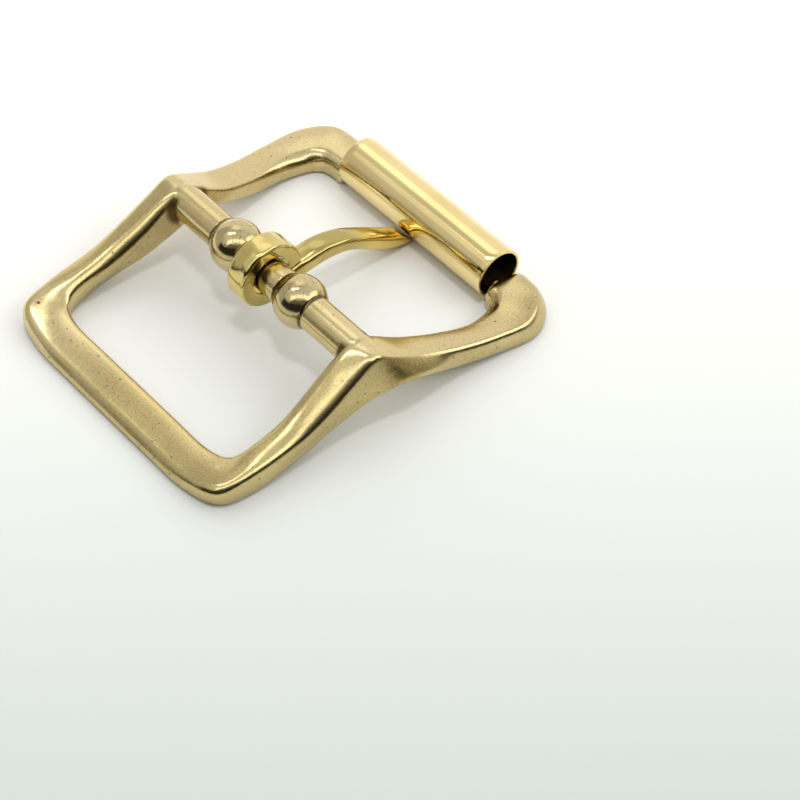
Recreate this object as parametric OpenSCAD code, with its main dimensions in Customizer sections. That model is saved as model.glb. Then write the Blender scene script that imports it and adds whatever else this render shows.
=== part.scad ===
// Centre-bar roller buckle for a 40 mm strap, lying on a table.
// +X runs from the keeper end to the roller end, +Y along the bars, +Z up.
// The origin is on the table, under the middle of the buckle.

/* [Centre bar] */
// Height of the centre bar's axis above the table
bar_z = 10.5; // [10.3:0.1:10.7]
// Diameter of the centre bar
bar_d = 5.8; // [5.4:0.1:6]
// Diameter of the two balls that keep the tongue in the middle
ball_d = 8.7; // [8.2:0.1:9]
// Distance between the centres of the two balls
ball_span = 15.6; // [15.2:0.1:17]
// Radius of the fillet where a ball meets the bar
ball_fillet = 0.8; // [0.4:0.1:1.2]

/* [Frame] */
// Distance from the centre bar's axis to the roller's axis, along the buckle
roller_x = 31; // [30.6:0.1:31.6]
// Rise of the casting's top between its two rolled edges, for each mm of width
crown = 0.035; // [0.01:0.005:0.05]
// Belly of the casting's outer side, for each mm of height
belly = 0.04; // [0:0.01:0.06]
// Diameter of the end bar that the roller turns on
axle_d = 3.4; // [3:0.1:3.8]

/* [Roller] */
// Outer diameter of the roller tube
roller_d = 8.6; // [8.2:0.1:9]
// Wall thickness of the roller tube
roller_wall = 0.5; // [0.45:0.05:0.75]
// Length of the roller tube
roller_len = 34.2; // [33:0.1:34.6]
// How far the roller's middle stands from the buckle's, towards the near arm
roller_shift = 1.6; // [1.5:0.1:1.9]

/* [Tongue] */
// Outer diameter of the ring curled round the centre bar
ring_d = 11.6; // [11.2:0.1:11.9]
// Free play between the ring's bore and the bar, on the radius
ring_play = 0.45; // [0.3:0.05:0.6]
// Width of the curled band
ring_w = 4.1; // [3.6:0.1:4.3]
// How far the ring has slid along the bar, towards the far ball
ring_shift = 1.2; // [0:0.1:1.2]
// Width of the seam where the band's end meets the shank
seam = 0.3; // [0.2:0.05:0.4]

/* [Hidden] */
$fn = 64;

bar_r = bar_d / 2;
ball_r = ball_d / 2;
axle_r = axle_d / 2;
roller_r = roller_d / 2;
// The shapes below are drawn with the centre bar at x = 0. This shift puts
// the origin under the middle of the whole buckle.
keeper_reach = 31.8;
mid_x = (keeper_reach - roller_x - roller_r) / 2;
bore_r = roller_r - roller_wall;
// Gap all round between the end bar and the roller's bore
bore_play = 0.3;
axle_z = roller_wall + bore_play + axle_r;
// Ends of the two bars, inside the casting's arms
bar_half = 22.3;
axle_half = 21;

// Half of the casting, from the middle of the keeper bar to the roller. Each row
// is a section. Its inner and its outer top edge are rolls: where the middle of
// each stands in plan, then the height of its middle and its radius. Last come
// the underside, and how far out from the rolls the middles of the two toes are.
X_IN = 0;
Y_IN = 1;
X_OUT = 2;
Y_OUT = 3;
Z_IN = 4;
R_IN = 5;
Z_OUT = 6;
R_OUT = 7;
Z_BOT = 8;
TOE_IN = 9;
TOE_OUT = 10;
sections = [
    [-25.9,  0.0, -29.5,  0.0,  2.5, 0.9,  0.6, 2.1, 0.0, -0.30, 1.60],
    [-25.9,  9.1, -29.5,  9.3,  2.5, 0.9,  0.6, 2.1, 0.0, -0.30, 1.60],
    [-25.9, 16.6, -29.5, 17.8,  2.5, 1.0,  0.9, 2.1, 0.0, -0.30, 1.50],
    [-24.8, 21.1, -28.2, 23.7,  2.6, 1.5,  2.4, 1.8, 0.0, -0.55, 0.75],
    [-21.4, 22.8, -22.8, 24.8,  3.6, 1.9,  3.3, 1.8, 0.0, -0.35, 0.85],
    [-14.7, 23.1, -14.9, 24.3,  4.9, 2.1,  4.3, 2.3, 1.0, -0.05, 1.05],
    [ -8.5, 22.5,  -8.6, 23.9,  7.8, 2.0,  6.7, 2.6, 3.2, -0.85, 1.75],
    [ -3.4, 22.0,  -3.4, 24.0, 11.0, 1.5,  9.7, 2.2, 5.2, -0.95, 2.35],
    [  0.0, 21.4,   0.0, 24.6, 12.1, 1.0, 11.5, 1.5, 6.1, -0.35, 2.45],
    [  3.4, 21.3,   3.4, 25.4, 10.6, 0.7, 10.0, 1.0, 6.5, -0.15, 2.45],
    [  8.5, 21.7,   8.6, 25.7,  7.2, 0.7,  6.9, 1.2, 4.7, -0.25, 2.15],
    [ 14.6, 23.0,  14.9, 26.4,  4.5, 1.0,  4.3, 1.6, 2.0, -0.55, 1.25],
    [ 20.8, 24.6,  21.5, 27.4,  2.2, 2.0,  2.9, 1.6, 0.5, -1.35, 0.95],
    [ 26.4, 24.1,  28.2, 27.6,  1.3, 2.5,  1.8, 1.8, 0.0, -1.95, 1.75],
    [ 28.9, 22.1,  32.4, 24.4,  1.6, 2.4,  2.1, 2.0, 0.0, -1.85, 1.95],
    [ 29.5, 19.3,  33.0, 19.6,  2.2, 2.0,  2.1, 2.0, 0.2, -1.45, 1.50]
];
// The far arm runs on past the last section, up to the roller's far end
far_end = [29.6, 15.9, 33.1, 15.9, 2.2, 2.0, 2.2, 2.0, 0.2, -1.50, 1.60];
toe_r = 0.7;
steps = 3;

// The tongue's shank, from inside the ring to past the tip. Each row is a
// section: the place of its middle, half its width and half its thickness.
X_MID = 0;
Y_MID = 1;
Z_MID = 2;
HALF_W = 3;
HALF_T = 4;
shank = [
    [ 3.6, 1.20, 7.30, 2.05, 1.30],
    [ 5.5, 1.10, 7.70, 2.15, 1.50],
    [ 8.0, 0.85, 8.30, 2.15, 1.60],
    [11.0, 0.60, 8.65, 2.10, 1.55],
    [14.6, 0.42, 7.95, 1.95, 1.40],
    [17.2, 0.38, 6.65, 1.85, 1.40],
    [20.0, 0.33, 4.90, 1.80, 1.50],
    [22.6, 0.25, 3.25, 1.75, 1.45],
    [24.5, 0.20, 2.25, 1.70, 1.40],
    [26.5, 0.10, 1.45, 1.60, 1.15],
    [29.0, 0.00, 1.00, 1.50, 0.85]
];

// A smooth curve through rows a, b, c, d, read between b and c
function between(a, b, c, d, t) =
    0.5 * (2 * b + (c - a) * t
        + (2 * a - 5 * b + 4 * c - d) * t * t
        + (3 * b - a - 3 * c + d) * t * t * t);

// The row before the first, as the mirror image of the second
function mirrored(row) = [for (i = [0:len(row) - 1]) (i == Y_IN || i == Y_OUT) ? -row[i] : row[i]];

function row_at(rows, i, first) =
    i < 0 ? first
    : i >= len(rows) ? 2 * rows[len(rows) - 1] - rows[len(rows) - 2]
    : rows[i];

function smooth_rows(rows, n, first) = concat(
    [for (i = [0:len(rows) - 2]) for (k = [0:n - 1])
        between(row_at(rows, i - 1, first), rows[i], rows[i + 1],
            row_at(rows, i + 2, first), k / n)],
    [rows[len(rows) - 1]]);

// The angle at which a tight belt leaves roll a for roll b. A roll is [out, up, radius].
function leave(a, b) =
    atan2(b[1] - a[1], b[0] - a[0]) + acos((a[2] - b[2]) / norm([b[0] - a[0], b[1] - a[1]]));

// The belt on roll b, where it comes from roll a and goes on to roll c, in n steps
function on_roll(a, b, c, n) =
    let (
        from = leave(a, b),
        turn = (from - leave(b, c) + 720) % 360
    ) [for (i = [0:n]) let (way = from - turn * i / n) [b[0] + b[2] * cos(way), b[1] + b[2] * sin(way)]];

// The point halfway from roll a to roll b, pushed out from the belt by a share of its length
function halfway(a, b, out) =
    let (
        way = leave(a, b),
        push = (a[2] + b[2]) / 2 + out * norm([b[0] - a[0], b[1] - a[1]])
    ) [(a[0] + b[0]) / 2 + push * cos(way), (a[1] + b[1]) / 2 + push * sin(way)];

// One section of the casting, as distance out from the inner roll and height:
// a belt drawn round its two toes and its two rolled top edges
function outline(w, row) =
    let (
        toe_in = [row[TOE_IN], row[Z_BOT] + toe_r, toe_r],
        edge_in = [0, row[Z_IN], row[R_IN]],
        edge_out = [w, row[Z_OUT], row[R_OUT]],
        toe_out = [w + row[TOE_OUT], row[Z_BOT] + toe_r, toe_r]
    ) concat(
        on_roll(toe_out, toe_in, edge_in, 2),
        on_roll(toe_in, edge_in, edge_out, 4),
        [halfway(edge_in, edge_out, crown)],
        on_roll(edge_in, edge_out, toe_out, 4),
        [halfway(edge_out, toe_out, belly)],
        on_roll(edge_out, toe_out, toe_in, 2)
    );

function section_points(row) =
    let (
        a = [row[X_IN], row[Y_IN]],
        b = [row[X_OUT], row[Y_OUT]],
        w = norm(b - a),
        n = (b - a) / w
    ) [for (q = outline(w, row)) [a[0] + n[0] * q[0], a[1] + n[1] * q[0], max(q[1], 0)]];

// A closed skin over rings of points, with flat ends
module skin(rings) {
    n = len(rings[0]);
    last = len(rings) - 1;
    polyhedron(
        points = [for (r = rings) for (p = r) p],
        faces = concat(
            [[for (i = [0:n - 1]) i]],
            [for (k = [0:last - 1]) for (i = [0:n - 1])
                [k * n + i, (k + 1) * n + i, (k + 1) * n + (i + 1) % n]],
            [for (k = [0:last - 1]) for (i = [0:n - 1])
                [k * n + i, (k + 1) * n + (i + 1) % n, k * n + (i + 1) % n]],
            [[for (i = [n - 1:-1:0]) last * n + i]]
        ),
        convexity = 8
    );
}

near_rows = smooth_rows(sections, steps, mirrored(sections[1]));
far_rows = smooth_rows(concat(sections, [far_end]), steps, mirrored(sections[1]));
far_rings = [for (k = [len(far_rows) - 1:-1:0]) section_points(far_rows[k])];
near_rings = [for (k = [1:len(near_rows) - 1])
    [for (p = section_points(near_rows[k])) [p[0], -p[1], p[2]]]];

// Keeper bar and both side arms, as one swept casting
module casting() {
    skin(concat(far_rings, near_rings));
}

// A round bar along Y, centred on y = 0
module bar_along_y(r, length) {
    rotate([90, 0, 0])
        cylinder(r = r, h = length, center = true);
}

// A ball on the bar, with a fillet ring on each side
module ball() {
    sphere(r = ball_r);
    reach = bar_r + ball_fillet;
    foot = sqrt(pow(ball_r + ball_fillet, 2) - pow(reach, 2));
    for (side = [-1, 1])
        rotate([side * 90, 0, 0])
            rotate_extrude()
                difference() {
                    square([reach * ball_r / (ball_r + ball_fillet), foot]);
                    translate([reach, foot])
                        circle(r = ball_fillet);
                }
}

module frame() color([0.78, 0.71, 0.52]) {
    translate([mid_x, 0, 0]) {
        casting();
        translate([0, 0, bar_z]) {
            bar_along_y(bar_r, 2 * bar_half);
            for (side = [-1, 1])
                translate([0, side * ball_span / 2, 0])
                    ball();
        }
        translate([roller_x, 0, axle_z])
            bar_along_y(axle_r, 2 * axle_half);
    }
}

// One section of the shank: a rectangle with its corners cut, square to the run
shank_bevel = 0.45;
function shank_ring(row, lean) =
    let (
        w = row[HALF_W],
        t = row[HALF_T],
        cut = shank_bevel * t,
        flat = [
            [-w, -t + cut], [-w + cut, -t], [w - cut, -t], [w, -t + cut],
            [w, t - cut], [w - cut, t], [-w + cut, t], [-w, t - cut]
        ]
    ) [for (p = flat)
        [row[X_MID] - p[1] * sin(lean), row[Y_MID] + p[0], row[Z_MID] + p[1] * cos(lean)]];

shank_rows = smooth_rows(shank, 2, 2 * shank[0] - shank[1]);
function lean_at(rows, i) =
    let (
        a = rows[max(0, i - 1)],
        b = rows[min(len(rows) - 1, i + 1)]
    ) atan2(b[Z_MID] - a[Z_MID], b[X_MID] - a[X_MID]);

module shank_bar() {
    skin([for (i = [0:len(shank_rows) - 1]) shank_ring(shank_rows[i], lean_at(shank_rows, i))]);
}

// The band's end stops just above the shank, on the roller side
seam_angle = 14;
// The tip's slanted end leans back, square to a line to the roller's axis
tip_angle = -43;
tip_gap = 0.3;
module tongue() color([0.86, 0.74, 0.40]) {
    ring_r = ring_d / 2;
    hole_r = bar_r + ring_play;
    translate([mid_x, 0, 0])
        difference() {
            union() {
                translate([0, ring_shift, bar_z])
                    bar_along_y(ring_r, ring_w);
                shank_bar();
            }
            // The tip is cut along the roller, just clear of it
            translate([roller_x, 0, roller_r])
                rotate([0, tip_angle, 0])
                    translate([roller_d / 2 - tip_gap, 0, 0])
                        cube(2 * roller_d, center = true);
            translate([0, ring_shift, bar_z]) {
                bar_along_y(hole_r, ring_w + 2);
                rotate([0, seam_angle, 0])
                    translate([0, -ring_w, 0])
                        cube([ring_r + 1, 2 * ring_w, seam]);
            }
        }
}

module roller() color([0.90, 0.78, 0.48]) {
    translate([mid_x + roller_x, -roller_shift, roller_r])
        difference() {
            bar_along_y(roller_r, roller_len);
            bar_along_y(bore_r, roller_len + 2);
        }
}

frame();
tongue();
roller();
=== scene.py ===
import math

import bmesh
import bpy
from mathutils import Matrix, Vector


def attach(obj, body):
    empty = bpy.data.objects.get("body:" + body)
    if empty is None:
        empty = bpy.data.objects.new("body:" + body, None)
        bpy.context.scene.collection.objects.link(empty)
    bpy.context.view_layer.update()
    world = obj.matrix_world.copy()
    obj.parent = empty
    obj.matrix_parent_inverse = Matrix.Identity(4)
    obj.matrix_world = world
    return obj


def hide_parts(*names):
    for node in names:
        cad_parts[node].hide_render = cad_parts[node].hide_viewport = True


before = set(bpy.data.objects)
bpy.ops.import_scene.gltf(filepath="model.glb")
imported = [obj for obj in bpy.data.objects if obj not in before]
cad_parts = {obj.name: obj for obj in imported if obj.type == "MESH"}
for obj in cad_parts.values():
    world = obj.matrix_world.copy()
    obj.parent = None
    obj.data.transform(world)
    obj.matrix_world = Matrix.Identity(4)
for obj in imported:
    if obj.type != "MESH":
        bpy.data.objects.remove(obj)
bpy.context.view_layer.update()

# The table, the light and the camera
# A white table in a bright tent, with a barred window overhead, pale panels behind and at the
# right, and a darker front with a low gap. The one small lamp overhead shows in no reflection.
studio = bpy.context.scene
studio.view_settings.view_transform = "Standard"
studio.view_settings.look = "None"


class Wire:
    """A socket in a set of nodes. Arithmetic on it adds Math nodes, and add() adds any other node."""

    def __init__(self, tree, socket=None):
        self.tree, self.socket = tree, socket

    def add(self, kind, settings, inputs, out=0):
        node = self.tree.nodes.new("ShaderNode" + kind)
        for name, value in settings.items():
            setattr(node, name, value)
        for name, value in inputs.items():
            if isinstance(value, Wire):
                self.tree.links.new(value.socket, node.inputs[name])
            else:
                node.inputs[name].default_value = value
        return Wire(self.tree, node.outputs[out])

    def math(self, operation, first, second):
        return self.add("Math", {"operation": operation}, {0: first, 1: second})

    def __add__(self, other):
        return self.math("ADD", self, other)

    __radd__ = __add__

    def __mul__(self, other):
        return self.math("MULTIPLY", self, other)

    __rmul__ = __mul__

    def __sub__(self, other):
        return self.math("SUBTRACT", self, other)

    def __rsub__(self, other):
        return self.math("SUBTRACT", other, self)

    def __neg__(self):
        return 0 - self

    def __abs__(self):
        return self.math("ABSOLUTE", self, 0)

    def square(self):
        return self * self

    def between(self, low, high):
        """0 below low, 1 above high, smooth on the way."""
        return self.add("MapRange", {"interpolation_type": "SMOOTHSTEP"},
                        {"Value": self, "From Min": low, "From Max": high})

    def within(self, low, full_from, full_to, high):
        """0 outside low and high, 1 from full_from to full_to, smooth on the way."""
        return self.between(low, full_from) * (1 - self.between(full_to, high))

    def blend(self, first, second):
        """The first colour where this is 0, the second where it is 1."""
        first, second = (colour if isinstance(colour, Wire) else (*colour, 1) for colour in (first, second))
        return self.add("Mix", {"data_type": "RGBA"}, {0: self, 6: first, 7: second}, out=2)

    def parts(self):
        """The three numbers of a place, a direction or a colour."""
        split = self.add("SeparateXYZ", {}, {0: self}).socket.node
        return [Wire(self.tree, socket) for socket in split.outputs]

    def feed(self, shader, name):
        self.tree.links.new(self.socket, shader.inputs[name])


tent = bpy.data.worlds.new("tent")
tent.use_nodes = True
studio.world = tent
tent_wires = Wire(tent.node_tree)
side_x, side_y, height = tent_wires.add("TexCoord", {}, {}, out="Generated").parts()
camera_ray, diffuse_ray, mirror_ray = (
    tent_wires.add("LightPath", {}, {}, out=kind)
    for kind in ("Is Camera Ray", "Is Diffuse Ray", "Is Glossy Ray"))


def toward(x, y, z):
    """How squarely a ray looks in this direction, from -1 to 1."""
    return side_x * x + side_y * y + height * z


behind = toward(0.77, 0.64, 0)
front = toward(-0.65, -0.76, 0)
right = toward(0.42, -0.91, 0)
left = toward(-0.2, 0.98, 0)

# The cloth brightens upwards and dims at the top. It has a pale streak, a pale back with a
# brighter patch, a greyer left side that shows in reflections, and a bright panel at the right
wall = height.between(0.1, 0.75).blend((0.40, 0.39, 0.36), (0.74, 0.74, 0.72))
wall = height.between(0.78, 0.86).blend(wall, (0.60, 0.60, 0.58))
wall = toward(-0.35, 0.52, 0.78).between(0.983, 0.994).blend(wall, (1.05, 1.05, 1.02))
wall = behind.between(0.28, 0.72).blend(wall, (1.02, 1.0, 0.97))
left_wall = left.between(0.5, 0.75) * (1 - behind.between(0.55, 0.75))
wall = (left_wall * mirror_ray).blend(wall, (0.56, 0.55, 0.52))
wall = toward(0.38, 0.51, 0.77).between(0.962, 0.988).blend(wall, (1.35, 1.35, 1.32))
right_panel = right.between(0.56, 0.64) * height.within(0.34, 0.38, 0.76, 0.80)
wall = right_panel.blend(wall, (2.3, 2.3, 2.25))

# The window is there for reflections only, and thin bars divide it into two rows of four panes
window_length = toward(0.76, -0.65, 0)
window_width = toward(0.65, 0.76, 0)
window = height.between(0.2, 0.4) * window_length.within(-0.65, -0.59, 0.62, 0.68)
window = window * window_width.within(-0.55, -0.50, 0.28, 0.33)
for from_bar in (window_length + 0.24, window_length, window_length - 0.24, window_width):
    window = window * from_bar.square().between(0.01 ** 2, 0.03 ** 2)
sunny = window_width.within(0.08, 0.14, 0.22, 0.27)
sunny = sunny * (1 - (window_length + 0.28).square().between(0.035, 0.055))
glass = front.between(0.24, 0.32).blend((0.85, 0.85, 0.83), (2.0, 2.0, 1.96))
glass = sunny.blend(glass, (4.6, 4.6, 4.5))
wall = (window * mirror_ray).blend(wall, glass)

# The front stands in shade, with a dark gap under its cloth. In reflections the gap reaches a
# little further round, and low down at the right it fades
shade = front.between(0.46, 0.60) * (1 - height.between(0.73, 0.79))
wall = shade.blend(wall, (0.17, 0.16, 0.13))
gap_top = 0.44 + front.between(0.4, 0.95) * 0.14 + right.between(0.78, 0.88) * 0.10
gap = (gap_top - height).between(-0.03, 0.03) * (front + mirror_ray * 0.17).between(0.2, 0.38)
gap = gap * (1 - right.between(0.90, 0.96) * (1 - height.between(0.08, 0.20)) * 0.7)
wall = gap.blend(wall, (0.03, 0.028, 0.023))

# The camera sees plain white past the table, and matt surfaces get some more light
backdrop = tent.node_tree.nodes["Background"]
camera_ray.blend(wall, (0.93, 0.94, 0.94)).feed(backdrop, "Color")
(1 + diffuse_ray * 0.70).feed(backdrop, "Strength")

bulb = bpy.data.lights.new("overhead_lamp", "AREA")
bulb.shape = "DISK"
bulb.size = 0.14
bulb.energy = 1.9
bulb.color = (1.0, 0.98, 0.95)
lamp = bpy.data.objects.new("overhead_lamp", bulb)
lamp.location = Vector((-0.07, -0.12, 1.0)).normalized()
lamp.rotation_euler = lamp.location.to_track_quat("Z", "Y").to_euler()
lamp.visible_glossy = False
studio.collection.objects.link(lamp)

top = bmesh.new()
bmesh.ops.create_grid(top, x_segments=8, y_segments=8, size=1.6)
table_mesh = bpy.data.meshes.new("table")
top.to_mesh(table_mesh)
top.free()
floor = bpy.data.objects.new("table", table_mesh)
studio.collection.objects.link(floor)
white_table = bpy.data.materials.new("white_table")
white_table.use_nodes = True
paint = white_table.node_tree.nodes["Principled BSDF"]
paint.inputs["Roughness"].default_value = 0.55
paint.inputs["Specular IOR Level"].default_value = 0.25
table_x, table_y, _ = Wire(white_table.node_tree).add("TexCoord", {}, {}, out="Object").parts()
# Painted shade: the table is painted darker towards the near left and paler on the far side, as the light
# falls off
painted_light_far_side = (table_x * 0.64 + table_y * 0.77).between(-0.16, 0.10)
painted_light_far_side.blend((0.42, 0.475, 0.47), (0.90, 0.885, 0.865)).feed(paint, "Base Color")
floor.data.materials.append(white_table)

eye = bpy.data.cameras.new("camera")
eye.lens = 115.5
eye.sensor_width = 36.0
camera = bpy.data.objects.new("camera", eye)
studio.collection.objects.link(camera)
camera.location = (-0.16513, -0.22251, 0.29296)
looking = Vector((0.4297, 0.5034, -0.7496)).normalized()
camera.rotation_euler = looking.to_track_quat("-Z", "Y").to_euler()
studio.camera = camera

# Frame
# One casting in yellow brass, tumbled until its edges are soft: keeper bar, two humped side
# arms, round centre bar with two balls, and the end bar. Sizes are in mm, and x is from the centre bar.
mm = 0.001
mid_x = -1.75
bar_z = 10.5
bar_r = 2.9
bar_length = 44.6
ball_r = 4.35
ball_y = 7.8
ball_foot = 3.28
arm_y = 20.5
roller_x = 31.0
roller_r = 4.3
bore_r = 3.8
end_bar_r = 1.7
end_bar_length = 42.0
end_bar_play = 0.3
toe_r = 0.7

# Each cut of half the casting, from the middle of the keeper bar to the end bar.
# The inner and the outer top edge are rolls: where their middles stand in plan, then
# each one's height and radius. Last come the underside and how far the toes stand out.
cuts = [
    [-25.9, 0.0, -29.5, 0.0, 2.5, 0.9, 0.6, 2.1, 0.0, -0.3, 1.6],
    [-25.9, 9.1, -29.5, 9.3, 2.5, 0.9, 0.6, 2.1, 0.0, -0.3, 1.6],
    [-25.9, 16.6, -29.5, 17.8, 2.5, 1.0, 0.9, 2.1, 0.0, -0.3, 1.5],
    [-24.8, 21.1, -28.2, 23.7, 2.6, 1.5, 2.4, 1.8, 0.0, -0.55, 0.75],
    [-21.4, 22.8, -22.8, 24.8, 3.6, 1.9, 3.3, 1.8, 0.0, -0.35, 0.85],
    [-14.7, 23.1, -14.9, 24.3, 4.9, 2.1, 4.3, 2.3, 1.0, -0.05, 1.05],
    [-8.5, 22.5, -8.6, 23.9, 7.8, 2.0, 6.7, 2.6, 3.2, -0.85, 1.75],
    [-3.4, 22.0, -3.4, 24.0, 11.0, 1.5, 9.7, 2.2, 5.2, -0.95, 2.35],
    [0.0, 21.4, 0.0, 24.6, 12.1, 1.0, 11.5, 1.5, 6.1, -0.35, 2.45],
    [3.4, 21.3, 3.4, 25.4, 10.6, 0.7, 10.0, 1.0, 6.5, -0.15, 2.45],
    [8.5, 21.7, 8.6, 25.7, 7.2, 0.7, 6.9, 1.2, 4.7, -0.25, 2.15],
    [14.6, 23.0, 14.9, 26.4, 4.5, 1.0, 4.3, 1.6, 2.0, -0.55, 1.25],
    [20.8, 24.6, 21.5, 27.4, 2.2, 2.0, 2.9, 1.6, 0.5, -1.35, 0.95],
    [26.4, 24.1, 28.2, 27.6, 1.3, 2.5, 1.8, 1.8, 0.0, -1.95, 1.75],
    [28.9, 22.1, 32.4, 24.4, 1.6, 2.4, 2.1, 2.0, 0.0, -1.85, 1.95],
    [29.5, 19.3, 33.0, 19.6, 2.2, 2.0, 2.1, 2.0, 0.2, -1.45, 1.5],
]

# One more cut, because the far arm reaches further along the end bar than the near one
far_end = [29.6, 15.9, 33.1, 15.9, 2.2, 2.0, 2.2, 2.0, 0.2, -1.5, 1.6]

# For the inner toe, the inner roll, the outer roll and the outer toe: the points round it,
# and how far the side that follows it bulges, as a share of that side's length
roll_points = (4, 7, 7, 4)
bulges = (-0.03, 0.035, 0.04, 0.0)


def flowing(rows, before, steps):
    """Rows on a smooth curve through the given rows, coming from the row before them."""
    after = [2 * a - b for a, b in zip(rows[-1], rows[-2])]
    known = [before] + rows + [after]
    smooth = []
    for a, b, c, d in zip(known, known[1:], known[2:], known[3:]):
        for k in range(steps):
            t = k / steps
            smooth.append([
                0.5 * (2 * q + (r - p) * t + (2 * p - 5 * q + 4 * r - s) * t * t
                       + (3 * q - p - 3 * r + s) * t ** 3)
                for p, q, r, s in zip(a, b, c, d)])
    return smooth + [rows[-1]]


def casting_cut(row):
    """The outline of the casting at one cut: a belt drawn tight round its four rolled corners."""
    inner, outer = Vector(row[0:2]), Vector(row[2:4])
    z_in, r_in, z_out, r_out, z_bottom, toe_in, toe_out = row[4:]
    wide = (outer - inner).length
    outwards = (outer - inner) / wide
    toe_z = z_bottom + toe_r
    rolls = [(toe_in, toe_z, toe_r), (0.0, z_in, r_in), (wide, z_out, r_out), (wide + toe_out, toe_z, toe_r)]
    leave = []
    for (u, z, r), (u_next, z_next, r_next) in zip(rolls, rolls[1:] + rolls[:1]):
        run = math.hypot(u_next - u, z_next - z)
        leave.append(math.atan2(z_next - z, u_next - u) + math.acos((r - r_next) / run))
    belt = []
    for k, ((u, z, r), count, bulge) in enumerate(zip(rolls, roll_points, bulges)):
        turn = (leave[k - 1] - leave[k]) % math.tau / (count - 1)
        belt += [(u + r * math.cos(leave[k - 1] - turn * i), z + r * math.sin(leave[k - 1] - turn * i))
                 for i in range(count)]
        if bulge:
            u_next, z_next, r_next = rolls[k + 1]
            run = math.hypot(u_next - u, z_next - z)
            push = (r + r_next) / 2 + bulge * run
            mid_u, mid_z = (u + u_next) / 2, (z + z_next) / 2
            belt.append((mid_u + push * math.cos(leave[k]), mid_z + push * math.sin(leave[k])))
    return [Vector((*(inner + outwards * out), max(rise, 0.0))) for out, rise in belt]


def sweep(shape, rings):
    """Extrudes a ring of points along the others and closes both ends."""
    ring = [shape.verts.new(point) for point in rings[0]]
    edges = [shape.edges.new((ring[i - 1], ring[i])) for i in range(len(ring))]
    first = list(edges)
    for points in rings[1:]:
        grown = bmesh.ops.extrude_edge_only(shape, edges=edges)["geom"]
        fresh = {part for part in grown if isinstance(part, bmesh.types.BMVert)}
        edges = [part for part in grown if isinstance(part, bmesh.types.BMEdge)]
        ring = [next(e.other_vert(v) for e in v.link_edges if e.other_vert(v) in fresh) for v in ring]
        for vert, point in zip(ring, points):
            vert.co = point
    for loop in (first, edges):
        bmesh.ops.contextual_create(shape, geom=loop)


def rod(shape, radius, length, at):
    """A round bar along Y, with rings every millimetre so that it stays straight when it is rounded off."""
    made = bmesh.ops.create_cone(
        shape, cap_ends=True, segments=48, radius1=radius, radius2=radius, depth=length,
        matrix=Matrix.Translation(at) @ Matrix.Rotation(math.radians(90), 4, "X"))
    sides = {e for v in made["verts"] for e in v.link_edges if e.calc_length() > 0.9 * length}
    bmesh.ops.subdivide_edges(shape, edges=list(sides), cuts=int(length), use_grid_fill=True)


def onto_buckle(shape, name):
    """Moves a shape from the centre bar to its place on the buckle, in metres, as a new piece."""
    bmesh.ops.translate(shape, verts=shape.verts, vec=(mid_x, 0, 0))
    bmesh.ops.scale(shape, verts=shape.verts, vec=(mm, mm, mm))
    mesh = bpy.data.meshes.new(name)
    shape.to_mesh(mesh)
    shape.free()
    mesh.shade_smooth()
    piece = bpy.data.objects.new(name, mesh)
    studio.collection.objects.link(piece)
    return piece


def pour(shape, name, voxel, passes):
    """A piece whose overlapping forms are fused in one skin, softened where they meet."""
    piece = onto_buckle(shape, name)
    round_off = piece.modifiers.new("round_off", "SUBSURF")
    round_off.levels = round_off.render_levels = 1
    fuse = piece.modifiers.new("fuse", "REMESH")
    fuse.mode = "VOXEL"
    fuse.voxel_size = voxel
    soften = piece.modifiers.new("soften", "SMOOTH")
    soften.factor = 0.5
    soften.iterations = passes
    skin = bpy.data.meshes.new_from_object(piece.evaluated_get(bpy.context.evaluated_depsgraph_get()))
    skin.shade_smooth()
    mould = piece.data
    piece.modifiers.clear()
    piece.data = skin
    bpy.data.meshes.remove(mould)
    skin.name = name
    return piece


arms = bmesh.new()
mirror_row = [-v if i in (1, 3) else v for i, v in enumerate(cuts[1])]
far_half = [casting_cut(row) for row in flowing(cuts + [far_end], mirror_row, steps=6)]
near_half = [casting_cut(row) for row in flowing(cuts, mirror_row, steps=6)]
near_half = [[Vector((p.x, -p.y, p.z)) for p in points] for points in near_half]
sweep(arms, far_half[::-1] + near_half[1:])
rod(arms, bar_r, bar_length, (0, 0, bar_z))
for side in (-1, 1):
    bmesh.ops.create_uvsphere(
        arms, u_segments=64, v_segments=32, radius=ball_r,
        matrix=Matrix.Translation((0, side * ball_y, bar_z)))
rod(arms, end_bar_r, end_bar_length, (roller_x, 0, roller_r - bore_r + end_bar_play + end_bar_r))
bmesh.ops.recalc_face_normals(arms, faces=arms.faces)
casting = pour(arms, "brass_casting", voxel=0.000248, passes=6)


def brass(name, metal, rough):
    """A plain brass finish, with its shader, its wires and the place on the piece."""
    finish = bpy.data.materials.new(name)
    finish.use_nodes = True
    shader = finish.node_tree.nodes["Principled BSDF"]
    shader.inputs["Metallic"].default_value = 1.0
    shader.inputs["Base Color"].default_value = (*metal, 1)
    shader.inputs["Roughness"].default_value = rough
    wires = Wire(finish.node_tree)
    return finish, shader, wires, wires.add("TexCoord", {}, {}, out="Object")


def mottle(place, scale, detail, rough):
    """Soft noise, finer as scale grows."""
    return place.add("TexNoise", {}, {"Vector": place, "Scale": scale, "Detail": detail, "Roughness": rough})


def outside(squared, inner_r, outer_r):
    """0 inside one radius in mm and 1 outside the other, from the square of a distance in metres."""
    return squared.between((inner_r * mm) ** 2, (outer_r * mm) ** 2)


def tinted(metal, tints):
    """The metal with each tint laid over it in turn, as strongly as its mask and its number say."""
    for mask, strength, tint in tints:
        metal = (mask * strength).blend(metal, tint)
    return metal


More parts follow.
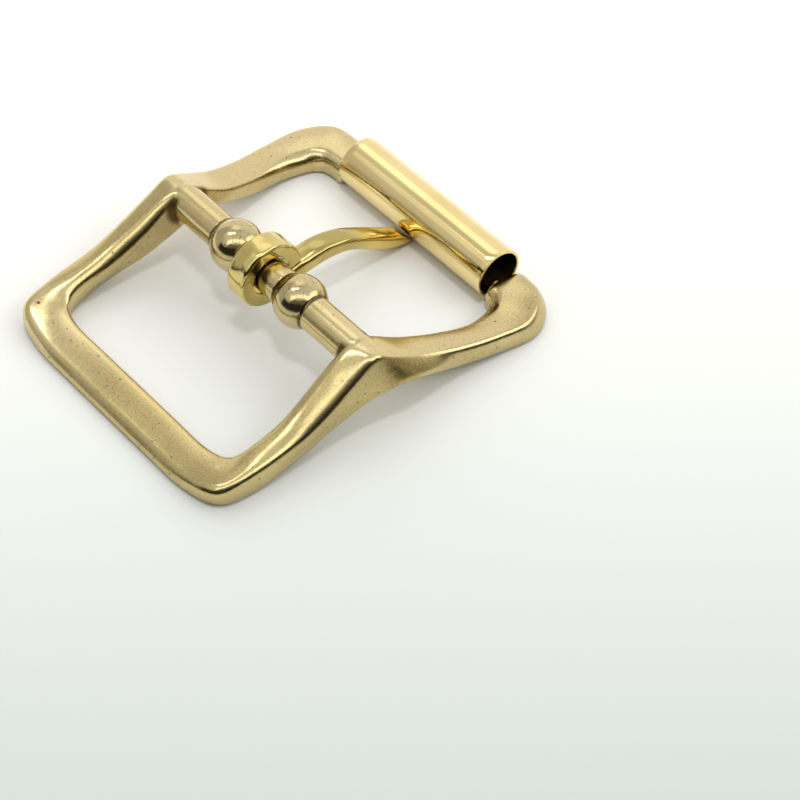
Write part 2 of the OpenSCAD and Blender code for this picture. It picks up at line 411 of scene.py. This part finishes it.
cast_brass, shader, wires, place = brass("tumbled_cast_brass", (0.80, 0.64, 0.33), 0.15)
along, across, up = place.parts()
sideways = wires.add("NewGeometry", {}, {}, out="Normal").parts()[1]
point = wires.add("NewGeometry", {}, {}, out="Pointiness")
ridge = point.between(0.505, 0.56)
hollow = 1 - point.between(0.42, 0.495)
cloud = mottle(place, 110.0, 4.0, 0.55)
grain = mottle(place, 3600.0, 3.0, 0.7)
swell = mottle(place, 260.0, 2.0, 0.5)

# Small casting pits in one cell of a fine pattern here and there, and one larger pit at the far corner
cells = {"Vector": place, "Scale": 850.0}
chance = wires.add("TexVoronoi", {}, cells, out="Color").parts()[0]
pit = (1 - wires.add("TexVoronoi", {}, cells).between(0.08, 0.15)) * chance.between(0.62, 0.64)
scar_at = (-29.2 * mm, 23.2 * mm, 4.2 * mm)
scar = wires.add("VectorMath", {"operation": "DISTANCE"}, {0: place, 1: scar_at}, out="Value")
pit = pit + (1 - scar.between(0.2 * mm, 0.4 * mm))

# The balls, the creases at their feet, and the stains where the centre bar meets the arms
from_middle = (along - mid_x * mm).square()
from_axis = from_middle + (up - bar_z * mm).square()
from_ball = abs(abs(across) - ball_y * mm)
from_foot = abs(from_ball - ball_foot * mm)
from_arm = abs(abs(across) - arm_y * mm)
ball = 1 - outside(from_ball.square() + from_axis, 4.3, 4.53)
crease = (1 - from_foot.between(0.12 * mm, 0.42 * mm)) * (1 - outside(from_axis, 3.03, 3.39))
stain = (1 - from_arm.between(0.3 * mm, 1.1 * mm)) * (1 - outside(from_axis, 3.32, 4.69))
stain = stain * outside(from_middle, 1.41, 2.24)

# Where the brass is paler or darker than the rest, much of it painted light and shade
# The far half of the keeper bar is paler than the rest
paler_keeper_far_half = across.between(2 * mm, 18 * mm) * (1 - along.between(-27 * mm, -20 * mm))
# Painted highlight: the top of the centre bar on the near side is painted paler
painted_highlight_bar = (-across).between(11.8 * mm, 14.5 * mm) * up.between(12.0 * mm, 13.1 * mm)
# Painted light: the casting is painted paler towards the roller end
painted_light_roller_end = along.between(-12 * mm, 6 * mm)
# Painted shade: the near corner by the roller is painted darker
painted_shade_corner = (-across).between(19 * mm, 23 * mm) * along.between(20 * mm, 26 * mm)
# Painted shade: the arms' side faces near the middle are painted darker
painted_shade_flank = sideways.square().between(0.45, 0.75) * (1 - outside(along.square(), 14.1, 24.5))
# Painted reflection: a dark brown band on the near arm's flank by the hump stands for a dark reflection
painted_dark_reflection_flank = (-sideways).between(0.45, 0.70) * along.within(-3 * mm, 0, 8 * mm, 14 * mm)
painted_dark_reflection_flank = painted_dark_reflection_flank * up.between(5.5 * mm, 7.5 * mm)
# Painted shade: the casting is painted darker close to the table
painted_shade_near_table = 1 - up.between(0.6 * mm, 3.0 * mm)
metal = tinted(cloud.between(0.35, 0.65).blend((0.60, 0.48, 0.21), (0.67, 0.535, 0.235)), [
    (paler_keeper_far_half + painted_highlight_bar, 0.8, (0.77, 0.63, 0.34)),
    (painted_light_roller_end, 0.45, (0.71, 0.59, 0.35)),
    (painted_shade_corner, 0.6, (0.46, 0.36, 0.16)),
    (ball, 0.7, (0.52, 0.45, 0.25)),
    (painted_shade_flank, 0.6, (0.36, 0.28, 0.10)),
    (painted_dark_reflection_flank, 0.85, (0.30, 0.19, 0.03)),
    (painted_shade_near_table, 0.55, (0.40, 0.32, 0.14)),
    (grain.between(0.3, 0.72), 0.5, (0.76, 0.63, 0.34)),
    (1 - grain.between(0.30, 0.47), 0.55, (0.40, 0.31, 0.15)),
    (ridge, 0.35, (0.90, 0.78, 0.50)),
    (hollow, 0.75, (0.26, 0.20, 0.09)),
    (crease, 0.9, (0.11, 0.08, 0.03)),
    (stain, 0.95, (0.11, 0.06, 0.01)),
    (pit, 0.85, (0.10, 0.08, 0.04)),
])
metal.feed(shader, "Base Color")
rough = 0.11 + grain * 0.10 + cloud * 0.05 - ridge * 0.04 - ball * 0.06
rough = rough + hollow * 0.15 + pit * 0.3 + stain * 0.3
rough.feed(shader, "Roughness")
relief = grain * 0.20 + swell * 0.9 - pit * 1.4 - crease * 1.5
wires.add("Bump", {}, {"Strength": 0.65, "Distance": 0.06 * mm, "Height": relief}).feed(shader, "Normal")
casting.data.materials.append(cast_brass)
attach(casting, "frame")
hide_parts("frame")

# Tongue
# A brass strip, bent hot: one end is curled round the centre bar between the balls, and
# the other is drawn down to a slanted tip that meets the roller.
ring_r = 5.8
hole_r = 3.35
ring_w = 4.1
ring_y = 1.2
tip_slant = 43.0
tip_gap = 0.3

# The shank from the curl to the tip: x, y and z of its middle, half its width and half its thickness
shank = [
    [3.6, 1.20, 7.30, 2.05, 1.30], [5.5, 1.10, 7.70, 2.15, 1.50], [8.0, 0.85, 8.30, 2.15, 1.60],
    [11.0, 0.60, 8.65, 2.10, 1.55], [14.6, 0.42, 7.95, 1.95, 1.40], [17.2, 0.38, 6.65, 1.85, 1.40],
    [20.0, 0.33, 4.90, 1.80, 1.50], [22.6, 0.25, 3.25, 1.75, 1.45], [24.5, 0.20, 2.25, 1.70, 1.40],
    [26.5, 0.10, 1.45, 1.60, 1.15], [29.0, 0.00, 1.00, 1.50, 0.85],
]


def soft_square(turn):
    """A point on a square with well rounded corners, from -1 to 1 each way."""
    return [math.copysign(abs(v) ** 0.6, v) for v in (math.cos(turn), math.sin(turn))]


def shank_cut(row, lean):
    """A strip's section with its corners worn round, square to the run of the shank."""
    x, y, z, half_w, half_t = row
    around = [soft_square(math.tau * (k + 0.5) / 24) for k in range(24)]
    return [Vector((x - half_t * rise * math.sin(lean), y + half_w * out, z + half_t * rise * math.cos(lean)))
            for out, rise in around]


strip = bmesh.new()
before_shank = [2 * a - b for a, b in zip(shank[0], shank[1])]
run = flowing(shank, before_shank, steps=4)
neighbours = zip([run[0]] + run[:-1], run[1:] + [run[-1]])
leans = [math.atan2(b[2] - a[2], b[0] - a[0]) for a, b in neighbours]
sweep(strip, [shank_cut(row, lean) for row, lean in zip(run, leans)])
tip_way = Vector((math.cos(math.radians(tip_slant)), 0, math.sin(math.radians(tip_slant))))
tip_at = Vector((roller_x, 0, roller_r)) - tip_way * (roller_r + tip_gap)
cut = bmesh.ops.bisect_plane(
    strip, geom=strip.verts[:] + strip.edges[:] + strip.faces[:],
    plane_co=tip_at, plane_no=tip_way, clear_outer=True)
bmesh.ops.contextual_create(strip, geom=[e for e in cut["geom_cut"] if isinstance(e, bmesh.types.BMEdge)])

# The band's section, across one rounded edge and then the other
half = ring_w / 2
band_edge = [
    (hole_r, 0.35 - half), (hole_r + 0.1, 0.1 - half), (hole_r + 0.35, -half), (ring_r - 0.42, -half),
    (ring_r - 0.32, 0.04 - half), (ring_r - 0.06, 0.3 - half), (ring_r, 0.42 - half), (ring_r, 0.8 - half),
]
band = band_edge + [(ring_r, 0.0)] + [(r, -y) for r, y in reversed(band_edge)]

# The band's free end, over its first few steps, stands a little proud, and its end face slants
free_end = -17.0
seam_width = 40.0
steps = 72
free_steps = 8
proud = 0.5
end_slant = 15.0
rings = []
for k in range(steps + 1):
    free = max(0.0, 1 - k / free_steps)
    ring = []
    for r, y in band:
        slant = free * end_slant * (r - hole_r) / (ring_r - hole_r)
        angle = math.radians(free_end + k * (360 - seam_width) / steps + slant)
        r += proud * free ** 2
        ring.append(Vector((r * math.cos(angle), ring_y + y, bar_z + r * math.sin(angle))))
    rings.append(ring)
sweep(strip, rings)
bmesh.ops.recalc_face_normals(strip, faces=strip.faces)
tongue = pour(strip, "brass_tongue", voxel=0.00013, passes=3)

bright_brass, shader, wires, place = brass("polished_brass", (0.86, 0.74, 0.33), 0.1)
along = place.parts()[0]
sideways = wires.add("NewGeometry", {}, {}, out="Normal").parts()[1]
point = wires.add("NewGeometry", {}, {}, out="Pointiness")
ridge = point.between(0.51, 0.58)
hollow = 1 - point.between(0.40, 0.49)
cloud = mottle(place, 160.0, 3.0, 0.5)
grain = mottle(place, 2600.0, 3.0, 0.6)
hammering = {"Vector": place, "Scale": 380.0, "Smoothness": 0.6}
blows = wires.add("TexVoronoi", {"feature": "SMOOTH_F1"}, hammering)
# Painted shade: the curl's sides, between the balls, are painted darker
painted_shade_curl_sides = sideways.square().between(0.35, 0.8) * (1 - along.between(4 * mm, 8 * mm))
metal = tinted(cloud.between(0.3, 0.7).blend((0.68, 0.55, 0.20), (0.78, 0.66, 0.27)), [
    (painted_shade_curl_sides, 0.7, (0.42, 0.32, 0.09)),
    # Painted reflection: the shank towards the tip is painted orange, as the roller's glow on it
    (along.between(13 * mm, 22 * mm), 0.7, (0.86, 0.62, 0.15)),
    # Painted shade: the shank's upper part, past the curl, is painted darker
    (along.within(5 * mm, 8 * mm, 13 * mm, 18 * mm), 0.85, (0.46, 0.37, 0.13)),
    (ridge, 0.3, (0.92, 0.82, 0.50)),
    (hollow, 0.7, (0.34, 0.20, 0.05)),
])
metal.feed(shader, "Base Color")
(0.09 + grain * 0.05 + hollow * 0.15).feed(shader, "Roughness")
relief = blows * (2.6 - along.between(2 * mm, 10 * mm) * 2.1) + grain * 0.05
wires.add("Bump", {}, {"Strength": 0.6, "Distance": 0.18 * mm, "Height": relief}).feed(shader, "Normal")
tongue.data.materials.append(bright_brass)
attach(tongue, "tongue")
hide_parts("tongue")

# Roller
# A short length of thin drawn brass tube, polished along its length, with both rims
# rounded over. It hangs loosely on the end bar and turns on it.
roller_from = -18.7
roller_to = 15.5
rim_round = 0.14
tube = bmesh.new()
corners = [
    tube.verts.new((bore_r, roller_from, 0)), tube.verts.new((roller_r, roller_from, 0)),
    tube.verts.new((roller_r, roller_to, 0)), tube.verts.new((bore_r, roller_to, 0)),
]
outline = [tube.edges.new((corners[i - 1], corners[i])) for i in range(4)]
bmesh.ops.spin(
    tube, geom=corners + outline, cent=(0, 0, 0), axis=(0, 1, 0), angle=math.tau, steps=96, use_merge=True)
bmesh.ops.remove_doubles(tube, verts=tube.verts, dist=1e-4)
rims = [e for e in tube.edges if abs(e.verts[0].co.y - e.verts[1].co.y) < 1e-4]
bmesh.ops.bevel(
    tube, geom=rims, offset=rim_round, offset_type="OFFSET",
    segments=3, profile=0.5, affect="EDGES", material=-1)
long_edges = [e for e in tube.edges if abs(e.verts[0].co.y - e.verts[1].co.y) > 20]
bmesh.ops.subdivide_edges(tube, edges=long_edges, cuts=24, use_grid_fill=True)
bmesh.ops.translate(tube, verts=tube.verts, vec=(roller_x, 0, roller_r))
bmesh.ops.recalc_face_normals(tube, faces=tube.faces)
roller = onto_buckle(tube, "brass_roller")

sheet_brass, shader, wires, place = brass("sheet_brass", (0.88, 0.70, 0.33), 0.08)
drawn = wires.add("Mapping", {}, {"Vector": place, "Scale": (1.0, 0.05, 1.0)})
streak = mottle(drawn, 3200.0, 3.0, 0.6)
cloud = mottle(place, 120.0, 3.0, 0.5)
dents = mottle(place, 210.0, 1.0, 0.4)
metal = cloud.between(0.3, 0.7).blend((0.85, 0.68, 0.31), (0.91, 0.74, 0.37))
metal.feed(shader, "Base Color")
(0.06 + streak * 0.06).feed(shader, "Roughness")
relief = dents + streak * 0.05
wires.add("Bump", {}, {"Strength": 0.4, "Distance": 0.05 * mm, "Height": relief}).feed(shader, "Normal")
roller.data.materials.append(sheet_brass)
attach(roller, "roller")
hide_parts("roller")
